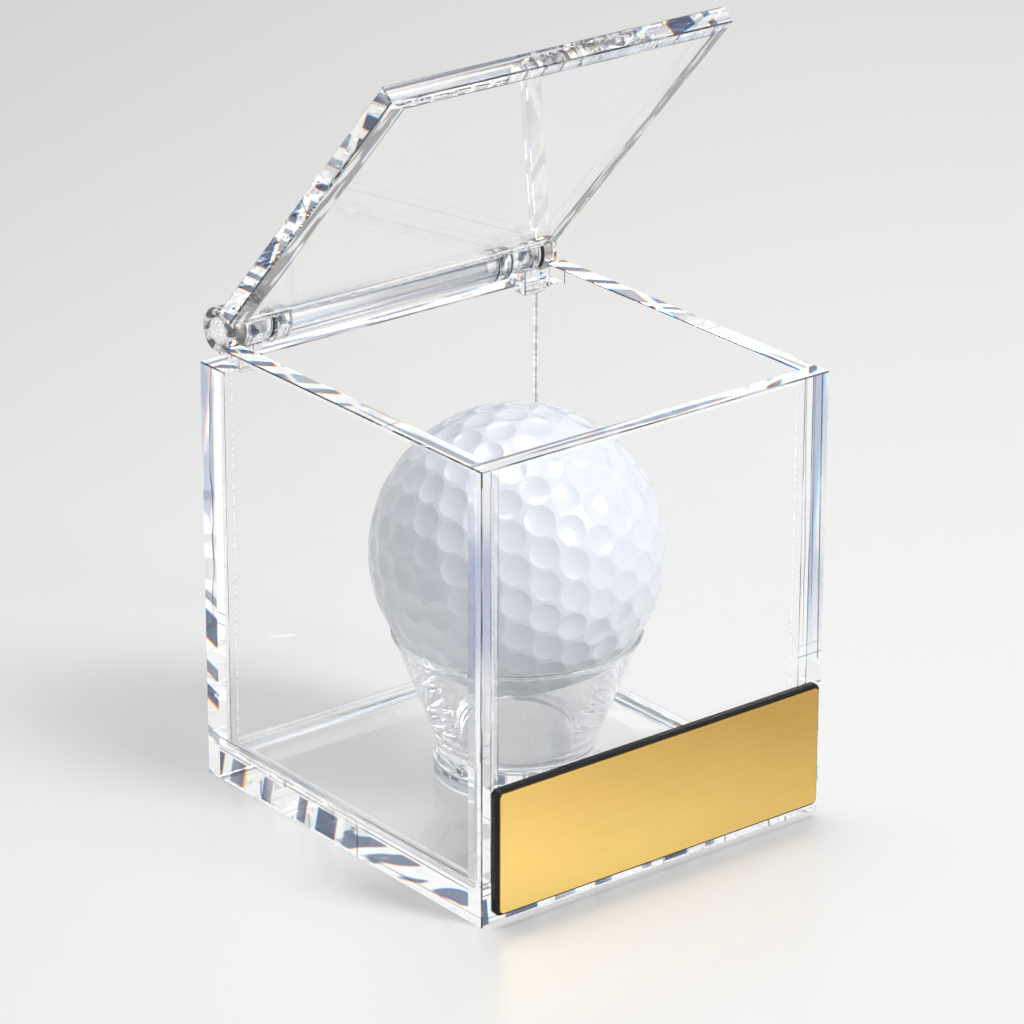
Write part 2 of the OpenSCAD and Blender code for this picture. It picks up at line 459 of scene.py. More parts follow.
@dataclass(frozen=True)
class TurnedAcrylic(ClearAcrylic):
    """Turned clear acrylic with painted streaks of shade round its axis, standing in for what a lens gathers.
    """

    roughness: float = 0.01
    in_sheet: bool = False
    axis: Point = HINGE_AXIS
    turns: float = 1.3
    length_mm: float = 2.2
    level: Point = (0.56, 0.6)
    # dark is the colour of the painted streaks of shade
    dark: Colour = (0.16, 0.18, 0.24)

    def tone(self, recipe: Recipe) -> Colour | Socket:
        """Painted streaks of shade that change quickly round the axis and slowly along it."""
        run = recipe.along(X_RUN) * (1 / self.length_mm) + 3.0
        streak = recipe.streaks(recipe.turn(self.axis) * self.turns + 20.0, run)
        return recipe.blend(streak.ramp(*self.level), self.tint, self.dark)


@dataclass(frozen=True)
class PaintedShadeLine(ClearAcrylic):
    """The narrow chamfer along a corner, with a painted dark line that comes and goes, standing in for the
    shade a polished corner shows.
    """

    dark: Colour = (0.02, 0.024, 0.036)
    spread: Point = (0.46, 0.76)

    def tone(self, recipe: Recipe) -> Colour | Socket:
        """Painted shade: dark slate to clear along the corner."""
        return recipe.blend(recipe.noise(recipe.place(), 90.0, 2.0).ramp(*self.spread), self.dark, self.tint)


@dataclass(frozen=True)
class CementJoint(Finish):
    """The face where two sheets are cemented: all but invisible."""

    slot: str = "clear_acrylic"

    def write(self, recipe: Recipe) -> None:
        """A faint film with a few fine specks in it."""
        specks = recipe.noise(recipe.place(), 1400.0, 2.0).ramp(0.6, 0.75, 0.03, 0.12)
        recipe.finish(recipe.shader(Base_Color=(0.8, 0.82, 0.84), Roughness=0.4, Alpha=specks))


@dataclass(frozen=True)
class TurnedMetal(Finish):
    """Metal turned on a lathe, with fine rings round the hinge axis."""

    slot: str = "polished_metal"
    colour: Colour = (0.8, 0.8, 0.79)
    roughness: float = 0.07
    haze: float = 0.05
    # depth sets how dark the painted dark sectors are, as a share of the colour
    depth: float = 0.1
    painted_sectors: Point = (0.42, 0.56)
    axis: Point = HINGE_AXIS
    groove_mm: float = 0.001
    pitch: float = 9000.0

    def write(self, recipe: Recipe) -> None:
        """Fine turning marks, and painted dark and bright sectors that stand in for the reflections a turned
        face shows.
        """
        marks = recipe.noise(recipe.stretched((1.0, 0.02, 0.02)), self.pitch, 3.0)
        cloud = recipe.noise(recipe.place(), 700.0, 3.0)
        # Painted reflection: dark and bright sectors round the hinge axis
        painted_sector = recipe.streaks(recipe.turn(self.axis) * 1.5 + 9.0, recipe.along(X_RUN) * 0.9)
        painted_sector = painted_sector.ramp(*self.painted_sectors)
        dark = tuple(c * self.depth for c in self.colour)
        recipe.finish(recipe.shader(
            Base_Color=recipe.blend(painted_sector * 0.85 + marks * 0.15 + cloud * 0.1, dark, self.colour),
            Metallic=1.0,
            Roughness=marks * self.haze + cloud * (self.haze * 0.7) + self.roughness,
            Normal=recipe.bump(marks, self.groove_mm),
        ))


@dataclass(frozen=True)
class BlackWasher(Finish):
    """Dull black washer."""

    slot: str = "black_washer"

    def write(self, recipe: Recipe) -> None:
        """Near black with a fine dull grain."""
        grain = recipe.noise(recipe.place(), 5200.0, 3.0)
        recipe.finish(recipe.shader(
            Base_Color=recipe.blend(grain, (0.006, 0.006, 0.007), (0.028, 0.028, 0.03)),
            Roughness=grain * 0.3 + 0.35,
            Normal=recipe.bump(grain, 0.01),
        ))


@dataclass(frozen=True)
class BlackBacking(Finish):
    """Glossy black plate with a faint orange peel."""

    slot: str = "plate_black"

    def write(self, recipe: Recipe) -> None:
        """Black gloss, slightly scuffed."""
        place = recipe.place()
        peel = recipe.noise(place, 900.0, 1.0)
        scuff = recipe.noise(place, 260.0, 5.0)
        recipe.finish(recipe.shader(
            Base_Color=recipe.blend(scuff, (0.004, 0.004, 0.005), (0.01, 0.01, 0.011)),
            Roughness=scuff * 0.12 + 0.14,
            Specular_IOR_Level=0.25,
            Normal=recipe.bump(peel, 0.006),
        ))


@dataclass(frozen=True)
class BrushedGold(Finish):
    """Gold sheet with a fine brush along its length."""

    slot: str = "plate_gold"
    # light and dark span both the brush tone and the painted reflection
    light: Colour = (1.0, 0.7, 0.22)
    dark: Colour = (0.55, 0.34, 0.095)

    def write(self, recipe: Recipe) -> None:
        """Long hairlines over a soft, cloudy tone, and a painted reflection that is bright towards the lower
        left and darker towards the upper right.
        """
        fine = recipe.noise(recipe.stretched((0.02, 1.0, 1.0)), 5200.0, 3.0)
        coarse = recipe.noise(recipe.stretched((0.03, 1.0, 1.0)), 1300.0, 2.0)
        cloud = recipe.noise(recipe.place(), 60.0, 2.0)
        # Painted reflection: the gold is painted brighter towards the lower left and darker towards the upper
        # right
        fade = (recipe.along((1.0, 0.0, 3.0)) * (1 / 100)).ramp(-0.2, 0.95, 0.5, -0.45)
        tone = fine * 0.1 + coarse * 0.12 + cloud * 0.2 + fade * 1.2 + 0.3
        recipe.finish(recipe.shader(
            Base_Color=recipe.blend(tone, self.dark, self.light),
            Metallic=1.0,
            Roughness=fine * 0.16 + coarse * 0.1 + 0.28,
            Normal=recipe.bump(fine * 0.6 + coarse * 0.4, 0.004),
        ))


@dataclass(frozen=True)
class AdhesivePad(Finish):
    """Thin milky adhesive film."""

    slot: str = "adhesive_film"

    def write(self, recipe: Recipe) -> None:
        """Milky with small trapped bubbles."""
        bubbles = recipe.noise(recipe.place(), 900.0, 4.0).ramp(0.55, 0.7)
        recipe.finish(recipe.shader(
            Base_Color=recipe.blend(bubbles, (0.62, 0.62, 0.6), (0.82, 0.82, 0.8)),
            Roughness=bubbles * 0.2 + 0.4,
        ))


@dataclass(frozen=True)
class BallPaint(Finish):
    """White glossy ball paint with a clear top coat."""

    slot: str = "ball_white"

    def write(self, recipe: Recipe) -> None:
        """Cool white, very slightly mottled, under a clear coat."""
        place = recipe.place()
        mottle = recipe.noise(place, 420.0, 3.0)
        fine = recipe.noise(place, 2600.0, 2.0)
        recipe.finish(recipe.shader(
            Base_Color=recipe.blend(mottle, (0.79, 0.82, 0.9), (0.83, 0.86, 0.93)),
            Roughness=mottle * 0.1 + 0.3,
            Coat_Weight=0.9,
            Coat_Roughness=0.035,
            Normal=recipe.bump(fine, 0.0015),
        ))


NO_BLOCKS = (0.0, 1.0, 0.0, 0.0)
PANE = ClearAcrylic("acrylic_pane", thin=True)
SHEET = ClearAcrylic("acrylic_sheet")
# Rims along X and Y: painted reflection blocks and streaks with painted blue and amber fringes, and a painted
# glow
RIM_X = PaintedLightEdge(
    "acrylic_rim_along_x", busy=(16.0, 21.0, 0.0, 1.0), start=3.0, step_mm=6.4, slant=-0.9,
    streak_level=(0.52, 0.6), slate=(0.4, 0.44, 0.56), glow=0.3, fringe_mm=0.18,
)
RIM_Y = PaintedLightEdge(
    "acrylic_rim_along_y", run=Y_RUN, across=(1.0, 0.0, 1.0), busy=(-8.0, 4.0, 0.0, 1.0), start=5.0,
    step_mm=6.8, slant=1.1, cut=0.6, dark=(0.2, 0.23, 0.32), streak_level=(0.52, 0.6),
    slate=(0.45, 0.48, 0.56), glow=0.3, fringe_mm=0.18,
)
# Upright edges: painted streaks and a painted wedge of slate shade
CORNER_Z = PaintedLightEdge(
    "acrylic_edge_upright", run=Z_RUN, across=(1.0, 1.0, 0.0), busy=(27.0, 33.0, 1.0, 0.0), start=9.0,
    slant=-0.3, block_level=-0.1, part_level=(-1.0, 0.0), slate=(0.55, 0.6, 0.72), fade=(30.0, 44.0),
    streak_mm=(16.0, 3.0), fringe_mm=0.16, wedge=(10.0, -0.155, 1.7), wedge_side=1,
)
DECK = ClearAcrylic("acrylic_deck", thin=True, gloss=1.0)
# Inner bands: a little wavy, with a painted glow
PALE = ClearAcrylic("acrylic_inner_band", wave_mm=0.05, wave_length_mm=7.0, glow=0.1)
# Foot bands: painted reflection blocks and streaks
FOOT_X = PaintedLightEdge(
    "acrylic_foot_along_x", across=Z_RUN, step_mm=7.0, cut=0.2, slant=0.1, inside=0.1, margin=(0.4, 4.6),
)
FOOT_Y = PaintedLightEdge(
    "acrylic_foot_along_y", run=Y_RUN, across=Z_RUN, busy=(-2.0, 2.0, 0.0, 1.0), step_mm=6.6, inside=0.1,
    part_level=(-1.0, 0.0), slant=0.25, block_level=-0.25, skew=0.32, streak_mm=(13.0, 2.2), fringe_mm=0.15,
    streak_level=(0.52, 0.57), slate=(0.25, 0.29, 0.38), margin=(0.5, 4.7),
)
# Post bands: painted streaks and a painted wedge of slate shade
POST = PaintedLightEdge(
    "acrylic_post_band", run=Z_RUN, across=(1.0, 1.0, 0.0), busy=NO_BLOCKS, streak_level=(0.4, 0.62),
    streak_mm=(30.0, 9.0), slate=(0.55, 0.6, 0.74), fade=(18.0, 50.0), fringe_mm=0.16,
    wedge=(-6.1, 0.0575, -4.7), wedge_side=-1,
)
# Chamfers, band rims and the tee's rim: painted dark lines of shade, paler on the tee
LINE = PaintedShadeLine("acrylic_corner_line")
RIM_LINE = PaintedShadeLine("acrylic_rim_line", dark=(0.3, 0.32, 0.36), spread=(0.5, 0.62), in_sheet=False)
# Cement bead: painted pale streaks and a painted glow
BEAD = PaintedLightEdge(
    "acrylic_bead", run=(1.0, 1.0, 0.0), across=Z_RUN, busy=NO_BLOCKS, streak_mm=(40.0, 0.5),
    streak_level=(0.42, 0.6), slate=(0.76, 0.78, 0.81), glow=0.22,
)
# Turned clear pieces and the tube: painted streaks of shade round the hinge axis
TURNED = TurnedAcrylic("acrylic_turned")
TUBE = TurnedAcrylic("acrylic_tube", turns=2.4, level=(0.54, 0.6), dark=(0.35, 0.37, 0.42), length_mm=80.0)
# The rod: a little painted glow, so its domed ends read bright
ROD = ClearAcrylic("acrylic_rod", tint=(0.98, 0.985, 0.99), roughness=0.06, glow=0.12, in_sheet=False)
BLOCK = ClearAcrylic("acrylic_block")
MOULDED = ClearAcrylic("acrylic_moulded", tint=(0.95, 0.952, 0.957), roughness=0.012, in_sheet=False)
# The tee's well: tinted grey as painted shade, so the recess reads darker
WELL_SHADE = ClearAcrylic("acrylic_well_painted_shade", tint=(0.82, 0.825, 0.835), roughness=0.012, in_sheet=False)
CEMENT = CementJoint("acrylic_cement")
POLISHED = TurnedMetal("metal_polished")
SATIN = TurnedMetal(
    "metal_satin", slot="satin_metal", colour=(0.5, 0.47, 0.43), roughness=0.24, haze=0.12, depth=0.6,
    groove_mm=0.003, pitch=6000.0,
)
WASHER = BlackWasher("washer_black")
BACKING = BlackBacking("plate_backing_black")
GOLD = BrushedGold("plate_gold_brushed")
PAD = AdhesivePad("adhesive_pad")
PAINT = BallPaint("ball_white_paint")


# Mesh helpers, in millimetres


def cad_box(node: str) -> tuple[Vector, Vector]:
    """Lowest and highest corner of a CAD node, in millimetres."""
    low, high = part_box(node)
    return Vector(low) / MM, Vector(high) / MM


def put(bm: Mesh, name: str, body: Body, nodes: Sequence[str], finishes: Sequence[Finish],
        smooth_deg: float = 0.0, place: Matrix | None = None) -> bpy.types.Object:
    """Turns a mesh in millimetres into a piece that stands for CAD nodes.

    Args:
        bm: the mesh; it is freed.
        name: the piece's name.
        body: the body it rides on.
        nodes: the CAD nodes that it replaces.
        finishes: one finish per material index.
        smooth_deg: edges flatter than this are shaded smooth; 0 keeps all flat.
        place: where the mesh goes, in millimetres.

    Returns:
        The new object.
    """
    if place is not None:
        bmesh.ops.transform(bm, matrix=place, verts=bm.verts)
    bmesh.ops.scale(bm, vec=(MM, MM, MM), verts=bm.verts)
    bmesh.ops.recalc_face_normals(bm, faces=bm.faces)
    used = sorted({face.material_index for face in bm.faces})
    for face in bm.faces:
        face.material_index = used.index(face.material_index)
    mesh = bpy.data.meshes.new(name)
    bm.to_mesh(mesh)
    bm.free()
    for index in used:
        mesh.materials.append(finishes[index].material())
    if smooth_deg > 0:
        mesh.shade_smooth()
        mesh.set_sharp_from_angle(angle=math.radians(smooth_deg))
    piece = bpy.data.objects.new(name, mesh)
    bpy.context.scene.collection.objects.link(piece)
    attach(piece, body.value)
    if nodes:
        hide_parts(*nodes)
    LOG.info("%s: %d faces, stands for %s", name, len(mesh.polygons), ", ".join(nodes))
    return piece


def along_hinge(node: str) -> Point:
    """A CAD node's two stations along the hinge, from the middle outwards."""
    near, far = sorted(abs(corner.x) for corner in cad_box(node))
    return near, far


def soften(outline: Sequence[Point], radius: float, steps: int = 3, support: float = 0.04) -> list[Point]:
    """Rounds the corners of a closed outline and adds support points beside each round.

    Args:
        outline: the corner points in order.
        radius: the round's radius.
        steps: the number of segments in each round.
        support: distance of the support point from the round, on each straight.

    Returns:
        The finer outline.
    """
    made: list[Point] = []
    for i, here in enumerate(outline):
        corner = Vector(here)
        back = Vector(outline[i - 1]) - corner
        ahead = Vector(outline[(i + 1) % len(outline)]) - corner
        half = back.angle(ahead) / 2
        if half > NEARLY_STRAIGHT:
            made.append(here)
            continue
        cut = min(radius / math.tan(half), SIDE_SHARE * back.length, SIDE_SHARE * ahead.length)
        start, end = corner + back.normalized() * cut, corner + ahead.normalized() * cut
        made.append(tuple(start + back.normalized() * support))
        for step in range(steps + 1):
            t = step / steps
            made.append(tuple(start.lerp(corner, t).lerp(corner.lerp(end, t), t)))
        made.append(tuple(end + ahead.normalized() * support))
    return made


def lathe(profile: Sequence[Point], segments: int = 96, closed: bool = True,
          face_slot: Callable[[int], int] | None = None) -> Mesh:
    """Turns a profile of (along, radius) points about the X axis.

    Args:
        profile: the points in order; a closed one is a ring, an open one ends on the axis.
        segments: the number of steps round the axis.
        closed: whether the last point joins the first.
        face_slot: gives a face's material index from its profile step.

    Returns:
        The mesh, its axis along X through the origin.
    """
    bm = bmesh.new()
    rows: list[list[Vert]] = []
    for along, radius in profile:
        if radius < 1e-6:
            rows.append([bm.verts.new((along, 0.0, 0.0))] * segments)
            continue
        rows.append([
            bm.verts.new((along, radius * math.cos(a), radius * math.sin(a)))
            for a in (2 * math.pi * s / segments for s in range(segments))
        ])
    count = len(rows) if closed else len(rows) - 1
    for i in range(count):
        first, second = rows[i], rows[(i + 1) % len(rows)]
        for s in range(segments):
            t = (s + 1) % segments
            corners = list(dict.fromkeys((first[s], first[t], second[t], second[s])))
            if len(corners) > 2:
                face = bm.faces.new(corners)
                if face_slot is not None:
                    face.material_index = face_slot(i)
    return bm


def ring(start: float, end: float, outer: float, inner: float, round_mm: float = 0.15) -> Mesh:
    """A turned ring between two stations with rounded corners."""
    return lathe(soften([(start, inner), (end, inner), (end, outer), (start, outer)], round_mm))


def skin(bm: Mesh, rows: Sequence[list[Vert]]) -> None:
    """Joins neighbouring rings of vertices with strips of faces."""
    for first, second in zip(rows, rows[1:]):
        for i in range(len(first)):
            j = (i + 1) % len(first)
            bm.faces.new((first[i], first[j], second[j], second[i]))


def chamfer_corners(bm: Mesh, width: float, index: int, clamp: bool, spared: int = -1) -> None:
    """Chamfers the sharp outer corners.

    Args:
        bm: the mesh, its normals up to date.
        width: the chamfer's width.
        index: the material index of its faces.
        clamp: whether a chamfer stops where it would run into another.
        spared: a corner beside a face of this material index stays sharp.
    """
    free = [
        e for e in bm.edges
        if len(e.link_faces) == 2 and e.is_convex and e.calc_face_angle(0) > SHARP
        and all(f.material_index != spared for f in e.link_faces)
    ]
    bmesh.ops.bevel(
        bm, geom=free, offset=width, offset_type="OFFSET", segments=1, profile=0.5,
        affect="EDGES", clamp_overlap=clamp, material=index,
    )


Box = tuple[Vector, Vector]


class Zone(IntEnum):
    """The kinds of face on a clear sheet, in the order of ZONE_FINISHES."""

    PANE = 0
    RIM_X = 1
    RIM_Y = 2
    UPRIGHT = 3
    CEMENT = 4
    PALE = 5
    FOOT_X = 6
    FOOT_Y = 7
    POST = 8
    LINE = 9
    DECK = 10


ZONE_FINISHES = (PANE, RIM_X, RIM_Y, CORNER_Z, CEMENT, PALE, FOOT_X, FOOT_Y, POST, LINE, DECK)


@dataclass
class Sheet:
    """One clear sheet made of boxes, with its thin axis, outer side, upright end faces and bands."""

    node: str
    boxes: list[Box]
    thin: int
    outer: int = 0
    upright: Zone = Zone.UPRIGHT
    bands: list[tuple[Box, Zone]] = field(default_factory=list)


class SheetWork:
    """Clear sheets cemented to each other; the faces between them carry the cement."""

    def __init__(self, sheets: Sequence[Sheet], beads: Sequence[Box], chamfer: float) -> None:
        """Keeps the sheets that meet.

        Args:
            sheets: all sheets of one cemented assembly.
            beads: boxes round the cement beads; a face beside one is cemented.
            chamfer: width of the chamfer on every free corner, in millimetres.
        """
        self.sheets = sheets
        self.bead = Sheet("", list(beads), 0)
        self.chamfer = chamfer
        boxes = [*beads, *(b for s in sheets for b in s.boxes), *(b for s in sheets for b, _ in s.bands)]
        corners = [corner for box in boxes for corner in box]
        self.lines = [sorted({round(corner[axis], 4) for corner in corners}) for axis in range(3)]

    @staticmethod
    def _holds(sheet: Sheet, point: Vector) -> bool:
        """Whether a point is inside a sheet."""
        return any(all(low[a] < point[a] < high[a] for a in range(3)) for low, high in sheet.boxes)

    def mesh(self, sheet: Sheet) -> Mesh:
        """Builds one sheet, with a material index by Zone.

        Args:
            sheet: the sheet to build.

        Returns:
            The closed mesh.
        """
        bm = bmesh.new()
        corners: dict[tuple[int, int, int], Vert] = {}
        cells = [len(line) - 1 for line in self.lines]
        middles = [[(a + b) / 2 for a, b in zip(line, line[1:])] for line in self.lines]

        def middle(index: Sequence[int]) -> Vector | None:
            """Middle of a cell, or None outside the grid."""
            if any(not 0 <= index[a] < cells[a] for a in range(3)):
                return None
            return Vector(middles[a][index[a]] for a in range(3))

        def corner(index: tuple[int, int, int]) -> Vert:
            """The vertex on a crossing of the grid's lines."""
            if index not in corners:
                corners[index] = bm.verts.new([self.lines[a][index[a]] for a in range(3)])
            return corners[index]

        for cell in np.ndindex(*cells):
            if not self._holds(sheet, middle(cell)):
                continue
            for axis in range(3):
                for step in (0, 1):
                    beside = list(cell)
                    beside[axis] += 2 * step - 1
                    point = middle(beside)
                    if point is not None and self._holds(sheet, point):
                        continue
                    u, v = (axis + 1) % 3, (axis + 2) % 3
                    loop = []
                    for du, dv in ((0, 0), (1, 0), (1, 1), (0, 1)):
                        index = list(cell)
                        index[axis] += step
                        index[u] += du
                        index[v] += dv
                        loop.append(corner(tuple(index)))
                    face = bm.faces.new(loop if step else loop[::-1])
                    face.material_index = self._zone(sheet, axis, step, middle(cell), point)
        bmesh.ops.dissolve_limit(bm, angle_limit=0.01, verts=bm.verts, edges=bm.edges, delimit={"MATERIAL"})
        bm.normal_update()
        chamfer_corners(bm, self.chamfer, Zone.LINE, False, Zone.CEMENT)
        return bm

    def _zone(self, sheet: Sheet, axis: int, step: int, here: Vector, beside: Vector | None) -> Zone:
        """The kind of a face, from its axis and side and the middles of the cells before and behind it."""
        others = [self.bead, *(s for s in self.sheets if s is not sheet)]
        if beside is not None and any(self._holds(o, beside) for o in others):
            return Zone.CEMENT
        if axis != sheet.thin:
            return (Zone.RIM_X, Zone.RIM_Y, sheet.upright)[3 - axis - sheet.thin]
        if axis == 2:
            return Zone.DECK
        if step != sheet.outer:
            return Zone.PANE
        found = (zone for band, zone in sheet.bands if self._holds(Sheet("", [band], 0), here))
        return next(found, Zone.PANE)


# Sub-assemblies


@dataclass
class Hinge:
    """Half length, radii and fits of the barrel hinge, with its packed axis and opening."""

    half: float = 30.0
    ring_r: float = 3.45
    tube_r: float = 3.25
    rod_r: float = 2.0
    fit: float = 0.06
    gap: float = 0.03
    y: float = HINGE_AXIS[0]
    z: float = HINGE_AXIS[1]
    opening: float = -LID_JOINT["range_deg"][0]

    @property
    def bore(self) -> float:
        """Radius of the bores that turn on the rod."""
        return self.rod_r + self.fit

    def at_axis(self) -> Matrix:
        """Moves a lathe's mesh onto the hinge axis."""
        return Matrix.Translation((0.0, self.y, self.z))

    def opened(self) -> Matrix:
        """Swings a closed lid piece to the modelled angle."""
        swing = Matrix.Rotation(-math.radians(self.opening), 4, "X")
        return self.at_axis() @ swing @ self.at_axis().inverted()

    def turned(self, bm: Mesh, node: str, word: str, body: Body, finish: Finish,
               side: Side = Side.RIGHT, smooth_deg: float = SMOOTH_DEG) -> None:
        """Puts a turned mesh, made for the right-hand side, on the hinge axis.

        Args:
            bm: the mesh; it is freed.
            node: the CAD node that it replaces.
            word: the end of the piece's name.
            body: the body it rides on.
            finish: its finish.
            side: the side of the hinge; a piece across the middle takes the right.
            smooth_deg: edges flatter than this are shaded smooth.
        """
        place = self.at_axis() @ Matrix.Scale(side.value, 4, X_RUN)
        put(bm, f"{node}_{word}", body, [node], [finish], smooth_deg, place)


@dataclass
class Case:
    """The open box of cemented sheets."""

    hinge: Hinge
    chamfer: float = 0.17
    turn_clearance: float = 0.3
    bead: float = 1.9
    upright_bead: float = 0.5
    bead_steps: int = 6
    foot_band: float = 5.1
    foot_inner: float = 1.8
    rear_inner: float = 3.0
    top_band: float = 0.6
    line: float = 0.15
    post_near: Point = (1.7, 1.2)
    post_far: Point = (3.1, 1.5)

    def sheets(self) -> list[Sheet]:
        """The five sheets as boxes from the CAD nodes."""
        made = []
        top = cad_box("front_wall")[1].z
        back_top = cad_box("back_wall")[1].z
        reach = self.hinge.ring_r + self.turn_clearance
        notch = self.hinge.y - math.sqrt(reach**2 - (self.hinge.z - top) ** 2)
        for node, thin in THIN_AXIS.items():
            low, high = cad_box(node)
            boxes = [(low, high)]
            if thin == 0:
                boxes = [
                    (low, Vector((high.x, high.y, back_top))),
                    (Vector((low.x, low.y, back_top)), Vector((high.x, notch, top))),
                ]
            outer = int(node in ("back_wall", "right_wall"))
            upright = Zone.POST if node == "front_wall" else Zone.UPRIGHT
            made.append(Sheet(node, boxes, thin, outer, upright, self.bands(node, thin) if thin < 2 else []))
        return made

    def bands(self, node: str, thin: int) -> list[tuple[Box, Zone]]:
        """The bands along a wall's foot and its upright sides, whose painted streaks, lines and glow stand in
        for the sheets seen behind its outer face.
        """
        low, high = cad_box(node)
        foot, inner = self.foot_band, self.foot_band + self.foot_inner

        def band(start: float, end: float, bottom: float, top: float, zone: Zone) -> tuple[Box, Zone]:
            """A box through the wall between two places along it and two heights."""
            if thin == 0:
                return (Vector((low.x, start, bottom)), Vector((high.x, end, top))), zone
            return (Vector((start, low.y, bottom)), Vector((end, high.y, top))), zone

        start, end = (low.y, high.y) if thin == 0 else (low.x, high.x)
        line, top = self.line, high.z
        made = [
            band(start, end, 0.0, foot - line, Zone.FOOT_Y if thin == 0 else Zone.FOOT_X),
            band(start, end, foot - line, foot, Zone.LINE),
            band(start, end, foot, inner - line, Zone.PALE),
            band(start, end, inner - line, inner, Zone.LINE),
        ]
        if thin == 0:
            first = end - self.rear_inner
            made += [
                band(first, first + line, inner, top, Zone.LINE),
                band(first + line, end, inner, top, Zone.PALE),
            ]
        else:
            left = self.post_near if node == "front_wall" else self.post_far
            for edge, inward, (wide, narrow) in ((start, 1, left), (end, -1, self.post_far)):
                stops = (0.0, wide - line, wide, wide + narrow - line, wide + narrow)
                for near, far, zone in zip(stops, stops[1:], (Zone.POST, Zone.LINE, Zone.PALE, Zone.LINE)):
                    one, other = sorted((edge + inward * near, edge + inward * far))
                    made.append(band(one, other, inner, top, zone))
        return [*made, band(start, end, top - self.top_band, top, Zone.PALE)]

    def bead_frame(self) -> tuple[Vector, Vector]:
        """The inner corners that the cement beads follow: floor low corner and rim high corner."""
        low, high = cad_box("base_panel")
        return Vector((low.x, low.y, high.z)), Vector((high.x, high.y, cad_box("back_wall")[1].z))

    def bead_boxes(self) -> list[Box]:
        """Boxes round the beads: four along the floor and four uprights."""
        (x0, y0, z0), (x1, y1, z1) = self.bead_frame()
        f, g = self.bead, self.upright_bead
        spans = [
            ((x0, y0, z0), (x1, y0 + f, z0 + f)), ((x0, y1 - f, z0), (x1, y1, z0 + f)),
            ((x0, y0, z0), (x0 + f, y1, z0 + f)), ((x1 - f, y0, z0), (x1, y1, z0 + f)),
        ]
        spans += [((x, y, z0), (x + g, y + g, z1)) for x in (x0, x1 - g) for y in (y0, y1 - g)]
        return [(Vector(a), Vector(b)) for a, b in spans]

    def hollow(self, size: float) -> list[Point]:
        """A hollow fillet's outline; its last point is the corner that it fills."""
        turns = np.linspace(0, math.pi / 2, self.bead_steps + 1)
        return [*((size - size * math.sin(t), size - size * math.cos(t)) for t in turns), (0.0, 0.0)]

    def beads(self) -> None:
        """The hollow cement bead round the floor, and one up each inner corner."""
        low, high = self.bead_frame()
        corners = [
            (low.x, low.y, 1, 1), (high.x, low.y, -1, 1), (high.x, high.y, -1, -1), (low.x, high.y, 1, -1),
        ]
        bm = bmesh.new()

        def strip(near: list[Vert], far: list[Vert]) -> None:
            """Faces between two outlines; those on the sheets carry the cement."""
            for j in range(len(near)):
                k = (j + 1) % len(near)
                bm.faces.new((near[j], far[j], far[k], near[k])).material_index = int(j >= self.bead_steps)

        rows = [
            [bm.verts.new((x + sx * a, y + sy * a, low.z + c)) for a, c in self.hollow(self.bead)]
            for x, y, sx, sy in corners
        ]
        for i, row in enumerate(rows):
            strip(row, rows[(i + 1) % 4])
        for x, y, sx, sy in corners:
            foot, head = (
                [bm.verts.new((x + sx * a, y + sy * c, z)) for a, c in self.hollow(self.upright_bead)]
                for z in (low.z + self.bead, high.z)
            )
            strip(foot, head)
            bm.faces.new(foot)
            bm.faces.new(head[::-1])
        put(bm, "cement_bead_clear", Body.CASE, [], [BEAD, CEMENT], SMOOTH_DEG)

    def build(self) -> None:
        """Makes every sheet with its chamfers and cemented faces, then the cement bead."""
        sheets = self.sheets()
        work = SheetWork(sheets, self.bead_boxes(), self.chamfer)
        for sheet in sheets:
            put(work.mesh(sheet), sheet.node + "_clear", Body.CASE, [sheet.node], ZONE_FINISHES)
        self.beads()


